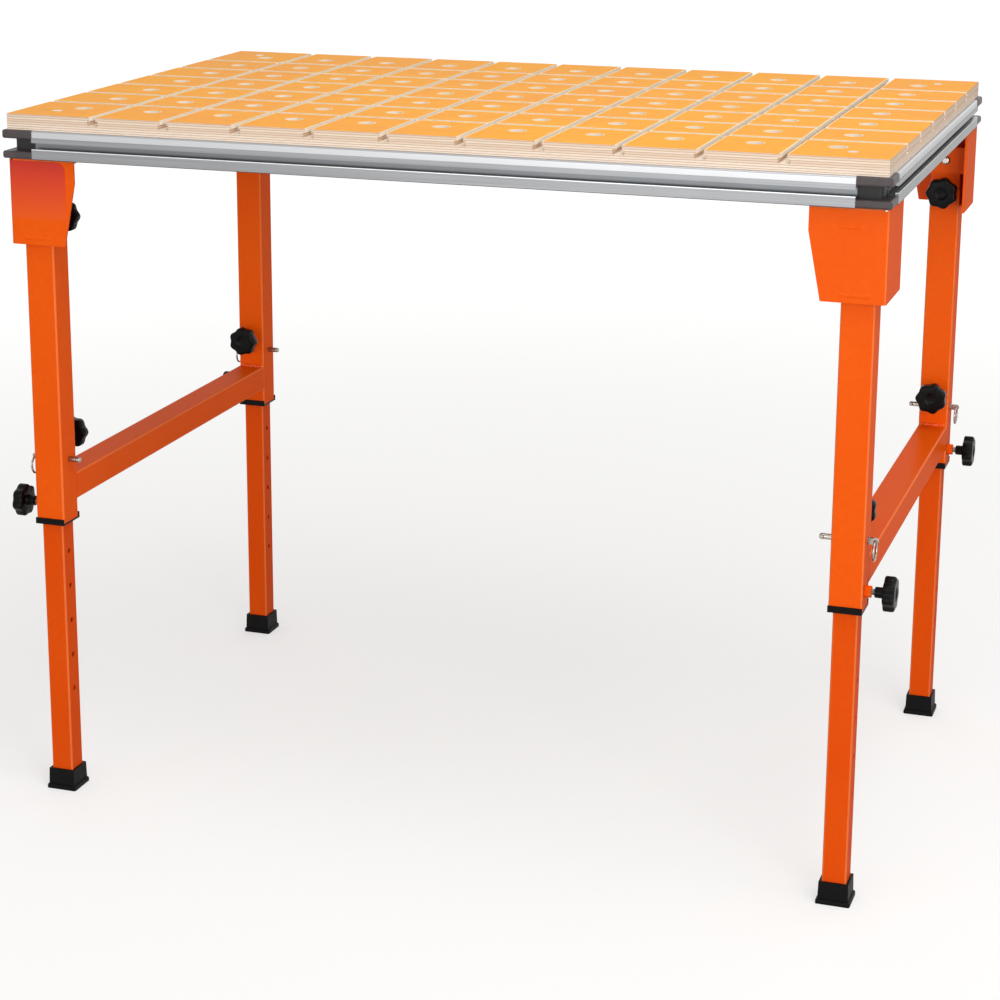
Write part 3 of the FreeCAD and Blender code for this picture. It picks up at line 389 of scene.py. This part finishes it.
def zinc_plated_steel():
    """Bright zinc-plated steel: a shiny grey metal with faint cloudy patches from the plating bath."""
    material, tree, shader, place = new_finish("bright_zinc_plated_steel", Metallic=1.0)
    bath = add(tree, "TexNoise", {"Vector": place, "Scale": per_mm(6), "Detail": 3.0})
    colour = add(tree, "ValToRGB", {"Fac": bath.outputs["Fac"]}, stops=[(0.3, "#948E87"), (0.7, "#B3ADA6")])
    tree.links.new(colour.outputs["Color"], shader.inputs["Base Color"])
    shine = add(tree, "MapRange", {"Value": bath.outputs["Fac"], "To Min": 0.16, "To Max": 0.32})
    tree.links.new(shine.outputs[0], shader.inputs["Roughness"])
    return material


LABEL_LOW, LABEL_HIGH = 777, 850.5


def printed_vinyl():
    """Printed vinyl sticker: a satin film that runs from red at its top to orange at its bottom."""
    material, tree, shader, place = new_finish("printed_vinyl", IOR=1.5, Specular_IOR_Level=0.2)
    axes = add(tree, "SeparateXYZ", {"Vector": place}).outputs
    up = add(tree, "MapRange", {"Value": axes["Z"], "From Min": LABEL_LOW * MM, "From Max": LABEL_HIGH * MM})
    colour = add(tree, "ValToRGB", {"Fac": up.outputs[0]},
                 stops=[(0.0, "#EE5A0E"), (0.45, "#E24A1F"), (1.0, "#CF3427")])
    tree.links.new(colour.outputs["Color"], shader.inputs["Base Color"])
    ripple = add(tree, "TexNoise", {"Vector": place, "Scale": per_mm(14), "Detail": 1.0})
    gloss = add(tree, "MapRange", {"Value": ripple.outputs["Fac"], "To Min": 0.28, "To Max": 0.40})
    tree.links.new(gloss.outputs[0], shader.inputs["Roughness"])
    bump = add(tree, "Bump", {"Height": ripple.outputs["Fac"], "Strength": 0.08, "Distance": 0.1 * MM})
    tree.links.new(bump.outputs[0], shader.inputs["Normal"])
    return material


board_finish = film_faced_plywood()
rail_finish = anodised_aluminium()
corner_finish = glass_filled_nylon()
paint = orange_powder_coat("orange_powder_coat", 0.14, 0.30, "#EF5809", "#F25E0D")
# The lower legs take the same paint made darker, as painted shade
shaded_lower_paint = orange_powder_coat("orange_powder_coat_with_painted_shade", 0.14, 0.30, "#E24D05", "#E65308")
# Over the weld beads the powder melts to a thicker, glossier coat
weld_paint = orange_powder_coat("orange_powder_coat_on_welds", 1.0, 0.16, "#EF5809", "#F25E0D")
knob_finish = black_moulding("black_polyamide", "#0A0808", "#060505", 0.26, 0.40, 0.9)
rubber = black_moulding("black_rubber", "#0B0909", "#070606", 0.44, 0.62, 1.6)
steel = zinc_plated_steel()
label_finish = printed_vinyl()

# The finish of each node by the start of its name; all others are plated steel
NODE_FINISHES = {
    "worktop": board_finish,
    "rail_": rail_finish,
    "corner_": corner_finish,
    "bracket_": paint,
    "bracket_bolts": steel,
    "upper_leg_": paint,
    "lower_leg_": shaded_lower_paint,
    "crossbar_": paint,
    "weld_nuts_": paint,
    "collar_": knob_finish,
    "foot_": rubber,
    "fold_knob_": knob_finish,
    "leg_knob_": knob_finish,
    "side_knob_": knob_finish,
}
for name, piece in frame["nodes"].items():
    starts = [start for start in NODE_FINISHES if name.startswith(start)]
    finish = NODE_FINISHES[max(starts, key=len)] if starts else steel
    piece.data.materials.clear()
    piece.data.materials.append(finish)


# Pieces, modelled in millimetres

def finished(name, bm, finish, body, sharp=35):
    """Turn a bmesh in millimetres into a piece that rides on a body."""
    bmesh.ops.scale(bm, vec=(MM, MM, MM), verts=bm.verts)
    mesh = bpy.data.meshes.new(name)
    bm.to_mesh(mesh)
    bm.free()
    mesh.polygons.foreach_set("use_smooth", [True] * len(mesh.polygons))
    mesh.set_sharp_from_angle(angle=math.radians(sharp))
    mesh.materials.append(finish)
    piece = bpy.data.objects.new(name, mesh)
    scene.collection.objects.link(piece)
    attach(piece, body)
    return piece


# Star knobs, measured along the stud from the face of the leg
LOBES, LOBE_POINTS, HOLLOW_DEPTH = 7, 16, 2.4
HUB_START, HUB_END = 11, 22
KNOB_END = LEG_INNER_Y - span("fold_knob_back_right", Y)[0]
KNOB_RADIUS = LEG_X - span("fold_knob_back_right", X)[0]

# The knob's section from the foot of its hub to the dish in its face: height, radius, and whether it is lobed
KNOB_SECTION = (
    (HUB_START, 5.6, False),
    (HUB_START + 0.8, 6.5, False),
    (HUB_END - 2, 6.7, False),
    (HUB_END, 8.5, False),
    (HUB_END, KNOB_RADIUS - 2, True),
    (HUB_END + 0.6, KNOB_RADIUS - 0.7, True),
    (HUB_END + 1.8, KNOB_RADIUS, True),
    (KNOB_END - 3.2, KNOB_RADIUS, True),
    (KNOB_END - 1.4, KNOB_RADIUS - 0.6, True),
    (KNOB_END - 0.3, KNOB_RADIUS - 1.9, True),
    (KNOB_END, KNOB_RADIUS - 3.4, True),
    (KNOB_END, 9.2, False),
    (KNOB_END - 0.7, 8.5, False),
    (KNOB_END - 1.6, 5.5, False),
    (KNOB_END - 1.9, 2.0, False),
)


def knob_ring(bm, height, radius, lobed):
    """One ring of the knob: a circle, or a circle with a hollow between each two lobes."""
    made = bmesh.ops.create_circle(bm, segments=LOBES * LOBE_POINTS, radius=1)["verts"]
    for vert in made:
        angle = math.atan2(vert.co.y, vert.co.x)
        dip = HOLLOW_DEPTH * (1 + math.cos(LOBES * angle)) / 2 if lobed else 0
        reach = radius - dip
        vert.co = Vector((reach * math.cos(angle), reach * math.sin(angle), height))
    edges = list({edge for vert in made for edge in vert.link_edges})
    return made, edges


def knob_head():
    """Star knob with a hub under it and a dish in its face."""
    bm = bmesh.new()
    rings = [knob_ring(bm, height, radius, lobed) for height, radius, lobed in KNOB_SECTION]
    for (_, lower), (_, upper) in zip(rings, rings[1:]):
        bmesh.ops.bridge_loops(bm, edges=lower + upper)
    for verts, _ in (rings[0], rings[-1]):
        bmesh.ops.contextual_create(bm, geom=verts)
    bmesh.ops.recalc_face_normals(bm, faces=bm.faces)
    return bm


# The studs of the knobs: a thread near the hub, a plain shank with a chamfer in the leg
THREAD_PITCH, THREAD_ROOT, STUD_RADIUS = 1.25, 3.4, 4
THREAD_START, THREAD_END = 1, HUB_START - 0.1
STUD_CHAMFER, STUD_SEAT = 0.8, 0.5


def stud(reach):
    """Threaded stud from the knob's hub to its end inside the leg."""
    bm = bmesh.new()
    outline = [(0, -reach), (THREAD_ROOT, -reach), (STUD_RADIUS, STUD_CHAMFER - reach)]
    for turn in range(int((HUB_START - THREAD_START) / THREAD_PITCH)):
        start = THREAD_START + turn * THREAD_PITCH
        outline += [(STUD_RADIUS, start), (THREAD_ROOT, start + THREAD_PITCH / 2)]
    outline += [(STUD_RADIUS, THREAD_END), (STUD_RADIUS, HUB_START + STUD_SEAT), (0, HUB_START + STUD_SEAT)]
    verts = [bm.verts.new((radius, 0, height)) for radius, height in outline]
    edges = [bm.edges.new(pair) for pair in zip(verts, verts[1:])]
    bmesh.ops.spin(bm, geom=verts + edges, axis=(0, 0, 1), cent=(0, 0, 0), angle=math.tau, steps=32,
                   use_merge=True)
    bmesh.ops.remove_doubles(bm, verts=bm.verts, dist=1e-4)
    bmesh.ops.recalc_face_normals(bm, faces=bm.faces)
    return bm


# Each clamp: its name, how far its stud reaches into the leg, the face that it stands on, the direction in
# which it stands out, and the direction of one of its hollows
FOLD_REACH = span("fold_knob_back_right", Y)[1] - LEG_INNER_Y
LEG_REACH = span("leg_knob_back_right", Y)[1] - LEG_INNER_Y
SIDE_REACH = LEG_OUTER_X - span("side_knob_back_right", X)[0]
DOWN = Vector((0, 0, -1))
for corner, (side, depth) in CORNERS.items():
    inwards = Vector((0, -depth, 0))
    outwards = Vector((side, 0, 0))
    inner_face = Vector((side * LEG_X, depth * LEG_INNER_Y, 0))
    outer_face = Vector((side * LEG_OUTER_X, depth * LEG_Y, 0))
    for name, reach, face, axis, hollow in (
            ("fold", FOLD_REACH, inner_face, inwards, outwards),
            ("leg", LEG_REACH, inner_face, inwards, outwards),
            ("side", SIDE_REACH, outer_face, outwards, DOWN)):
        height = Vector((0, 0, hinge_height(f"{name}_knob_turn_{corner}")))
        turn = Matrix((hollow, axis.cross(hollow), axis)).transposed().to_4x4()
        stand = Matrix.Translation(face + height) @ turn
        body = f"{name}_clamp_{corner}"
        head = knob_head()
        bmesh.ops.transform(head, matrix=stand, verts=head.verts)
        head = finished(f"{name}_knob_head_{corner}", head, knob_finish, body, 30)
        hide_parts(f"{name}_knob_{corner}")
        screw = stud(reach)
        bmesh.ops.transform(screw, matrix=stand, verts=screw.verts)
        finished(f"{name}_knob_stud_{corner}", screw, steel, body, 30)

# Spring balls on the front of the lock pins, near their tips
BALL_RADIUS, BALL_FROM_TIP, BALL_FROM_AXIS = 1.7, 4.5, 3.0
BALL_X = span("lock_pin_back_right", X)[0] + BALL_FROM_TIP
for corner, (side, depth) in CORNERS.items():
    ball = bmesh.new()
    bmesh.ops.create_uvsphere(ball, u_segments=16, v_segments=10, radius=BALL_RADIUS)
    spot = (side * BALL_X, depth * LEG_Y - BALL_FROM_AXIS, hinge_height(f"ring_swing_{corner}"))
    bmesh.ops.translate(ball, vec=spot, verts=ball.verts)
    finished(f"pin_ball_{corner}", ball, steel, f"pin_{corner}", 180)

# Weld beads: cuts along a bead for each millimetre, how thin its ends are, and its waves, the second slower
BEAD_CUTS = 1.6
BEAD_END = 0.35
BEAD_WAIST = 0.66
BEAD_WAVE, SLOW_WAVE, SLOW_SHARE = 0.95, 0.37, 0.5


def weld_bead(middle, length, radius, proud, out):
    """A rippled bead along X, flattened to stand a little proud of the metal."""
    bm = bmesh.new()
    bmesh.ops.create_cone(bm, cap_ends=True, segments=14, radius1=radius, radius2=radius, depth=length)
    ribs = [edge for edge in bm.edges if abs(edge.verts[0].co.z - edge.verts[1].co.z) > length / 2]
    bmesh.ops.subdivide_edges(bm, edges=ribs, cuts=int(length * BEAD_CUTS), use_grid_fill=True)
    for vert in bm.verts:
        run = vert.co.z + length / 2
        end = min(1.0, BEAD_END + min(run, length - run) / (2 * radius))
        wave = abs(math.sin(run * BEAD_WAVE + SLOW_SHARE * math.sin(run * SLOW_WAVE)))
        swell = end * (BEAD_WAIST + (1 - BEAD_WAIST) * wave)
        vert.co.x *= swell
        vert.co.y *= swell * proud / radius
    along, out = Vector((1, 0, 0)), Vector(out)
    turn = Matrix((along.cross(out), out, along)).transposed().to_4x4()
    bmesh.ops.transform(bm, matrix=Matrix.Translation(middle) @ turn, verts=bm.verts)
    return bm


def joined(beads):
    """One bmesh from several beads."""
    bm = bmesh.new()
    for bead in beads:
        mesh = bpy.data.meshes.new("bead")
        bead.to_mesh(mesh)
        bead.free()
        bm.from_mesh(mesh)
        bpy.data.meshes.remove(mesh)
    bmesh.ops.recalc_face_normals(bm, faces=bm.faces)
    return bm


# Weld beads where the crossbars meet the legs, on top and underneath
SEAM_LENGTH, SEAM_RADIUS, SEAM_PROUD = 36, 4.0, 3.6
for side_name, side in (("left", -1), ("right", 1)):
    beads = []
    for depth in (-1, 1):
        for height in (CROSSBAR_BOTTOM, CROSSBAR_TOP):
            middle = (side * LEG_X, depth * LEG_INNER_Y, height)
            beads.append(weld_bead(middle, SEAM_LENGTH, SEAM_RADIUS, SEAM_PROUD, (0, 0, 1)))
    welds = joined(beads)
    finished(f"crossbar_welds_{side_name}", welds, weld_paint, f"frame_{side_name}", 40)

# Ground weld marks on the brackets' outer plates: place, height and length. The label covers one of them.
WELD_MARKS = ((517, 753, 38), (511, 831, 31))
MARK_RADIUS, MARK_PROUD, MARK_SUNK = 3.0, 0.7, 0.1
beads = []
for corner, (side, depth) in CORNERS.items():
    for mark_x, height, length in WELD_MARKS:
        if corner == "front_left" and height > LABEL_LOW:
            continue
        middle = (side * mark_x, depth * (PLATE_FACE_Y - MARK_SUNK), height)
        beads.append(weld_bead(middle, length, MARK_RADIUS, MARK_PROUD, (0, depth, 0)))
finished("bracket_weld_marks", joined(beads), paint, "table_top", 60)

# Sticker on the front left bracket, with one rounded corner, wrapped round the bend of the sheet
LABEL_LEFT, LABEL_RIGHT = -552, -474
LABEL_THICKNESS, LABEL_CORNER, LABEL_FOLDS = 0.3, 11, 3
BEND_RADIUS = 4
BEND_START_X = BEND_RADIUS - WEB_FACE_X
label = bmesh.new()
bmesh.ops.create_grid(label, x_segments=1, y_segments=1, size=0.5)
bmesh.ops.scale(label, vec=(LABEL_RIGHT - LABEL_LEFT, LABEL_HIGH - LABEL_LOW, 1), verts=label.verts)
round_corner = [vert for vert in label.verts if vert.co.x > 0 and vert.co.y > 0]
bmesh.ops.bevel(label, geom=round_corner, offset=LABEL_CORNER, offset_type="OFFSET", segments=10, profile=0.5,
                affect="VERTICES", material=-1)
bmesh.ops.translate(label, vec=((LABEL_LEFT + LABEL_RIGHT) / 2, (LABEL_LOW + LABEL_HIGH) / 2, PLATE_FACE_Y),
                    verts=label.verts)
for fold in range(LABEL_FOLDS):
    bmesh.ops.bisect_plane(label, geom=label.verts[:] + label.edges[:] + label.faces[:],
                           plane_co=(BEND_START_X - fold, 0, 0), plane_no=(1, 0, 0))
raised = bmesh.ops.extrude_face_region(label, geom=label.faces[:])["geom"]
raised_verts = [part for part in raised if isinstance(part, bmesh.types.BMVert)]
bmesh.ops.translate(label, vec=(0, 0, LABEL_THICKNESS), verts=raised_verts)
for vert in label.verts:
    past = BEND_START_X - vert.co.x
    if past > 0:
        reach = vert.co.z - PLATE_FACE_Y + BEND_RADIUS
        vert.co.z = PLATE_FACE_Y - BEND_RADIUS + math.sqrt(reach ** 2 - past ** 2)
bmesh.ops.rotate(label, matrix=Matrix.Rotation(math.pi / 2, 3, "X"), verts=label.verts)
bmesh.ops.recalc_face_normals(label, faces=label.faces)
finished("bracket_label", label, label_finish, "table_top", 40)


# Studio, in metres

FLOOR_HALF = 40
GLOW_NEAR, GLOW_FAR = 0.54, 0.78
GLOW_START, GLOW_END = 0.8, 4.0
AMBIENT = 0.42


def looked_at(tree):
    """1 for rays from the camera and those that a surface mirrors or lets through, 0 for rays that light."""
    rays = add(tree, "LightPath").outputs
    seen = add(tree, "Math", {0: rays["Is Camera Ray"], 1: rays["Is Glossy Ray"]}, operation="MAXIMUM")
    seen = add(tree, "Math", {0: seen.outputs[0], 1: rays["Is Transmission Ray"]}, operation="MAXIMUM")
    return seen.outputs[0]


def white_paper():
    """White paper, matt; it glows a little more away from the table, where the lamps reach it less."""
    material, tree, shader, place = new_finish("white_paper", Base_Color=linear("#BDBCBA"), Roughness=0.95,
                                             Specular_IOR_Level=0.0)
    away = add(tree, "VectorMath", {0: place}, operation="LENGTH").outputs["Value"]
    level = add(tree, "MapRange", {"Value": away, "From Min": GLOW_START, "From Max": GLOW_END,
                                   "To Min": GLOW_NEAR, "To Max": GLOW_FAR}, interpolation_type="SMOOTHSTEP")
    glow = add(tree, "Math", {0: looked_at(tree), 1: level.outputs[0]}, operation="MULTIPLY")
    emission = add(tree, "Emission", {"Strength": glow.outputs[0]})
    both = add(tree, "AddShader", {0: shader.outputs[0], 1: emission.outputs[0]})
    tree.links.new(both.outputs[0], tree.nodes["Material Output"].inputs["Surface"])
    return material


ground = bmesh.new()
bmesh.ops.create_grid(ground, x_segments=1, y_segments=1, size=FLOOR_HALF)
floor_mesh = bpy.data.meshes.new("studio_floor")
ground.to_mesh(floor_mesh)
ground.free()
floor_mesh.materials.append(white_paper())
floor = bpy.data.objects.new("studio_floor", floor_mesh)
scene.collection.objects.link(floor)

world = bpy.data.worlds.new("studio")
scene.world = world
world.use_nodes = True
sky = world.node_tree
strength = add(sky, "MapRange", {"Value": looked_at(sky), "To Min": AMBIENT, "To Max": 1.0})
background = sky.nodes["Background"]
background.inputs["Color"].default_value = (1.0, 1.0, 1.0, 1.0)
sky.links.new(strength.outputs[0], background.inputs["Strength"])


def softbox(name, spot, target, size, power):
    """A square soft light that faces a point; its size in metres and its power in watts."""
    lamp = bpy.data.lights.new(name, "AREA")
    lamp.size = size
    lamp.energy = power
    made = bpy.data.objects.new(name, lamp)
    made.location = spot
    made.rotation_euler = (Vector(target) - Vector(spot)).to_track_quat("-Z", "Y").to_euler()
    scene.collection.objects.link(made)


softbox("key_right", (3.0, -4.4, 1.5), (0.0, 0.0, 0.5), 2.8, 112)
softbox("front_low", (-0.6, -5.8, 0.9), (0.0, 0.0, 0.5), 2.4, 60)
softbox("fill_left", (-3.4, -5.2, 1.5), (-0.2, 0.0, 0.5), 3.2, 10)
softbox("top", (0.9, -0.7, 2.9), (0.0, 0.0, 0.8), 1.8, 30)

# A weak wide sun from behind, so that the back isn't lost in shade
back_light = bpy.data.lights.new("back", "SUN")
back_light.energy = 0.6
back_light.angle = math.radians(90)
back = bpy.data.objects.new("back", back_light)
back.rotation_euler = Vector((0.2, -1.0, -0.3)).to_track_quat("-Z", "Y").to_euler()
scene.collection.objects.link(back)

# Camera: fitted to the hole grid, the board's corners and the feet in the photograph
FOCAL_PIXELS, FRAME_PIXELS, SENSOR = 2476.5, 1000, 36
CAMERA_PLACE = (0.990, -3.083, 1.340)
AZIMUTH, ELEVATION = math.radians(19.54), math.radians(14.55)
camera_data = bpy.data.cameras.new("camera")
camera_data.sensor_width = SENSOR
camera_data.lens = FOCAL_PIXELS * SENSOR / FRAME_PIXELS
camera_data.shift_x = 0.06
camera_data.shift_y = -0.10
camera = bpy.data.objects.new("camera", camera_data)
camera.location = CAMERA_PLACE
look = Vector((-math.sin(AZIMUTH) * math.cos(ELEVATION), math.cos(AZIMUTH) * math.cos(ELEVATION),
               -math.sin(ELEVATION)))
camera.rotation_euler = look.to_track_quat("-Z", "Y").to_euler()
scene.collection.objects.link(camera)
scene.camera = camera
scene.view_settings.view_transform = "Standard"
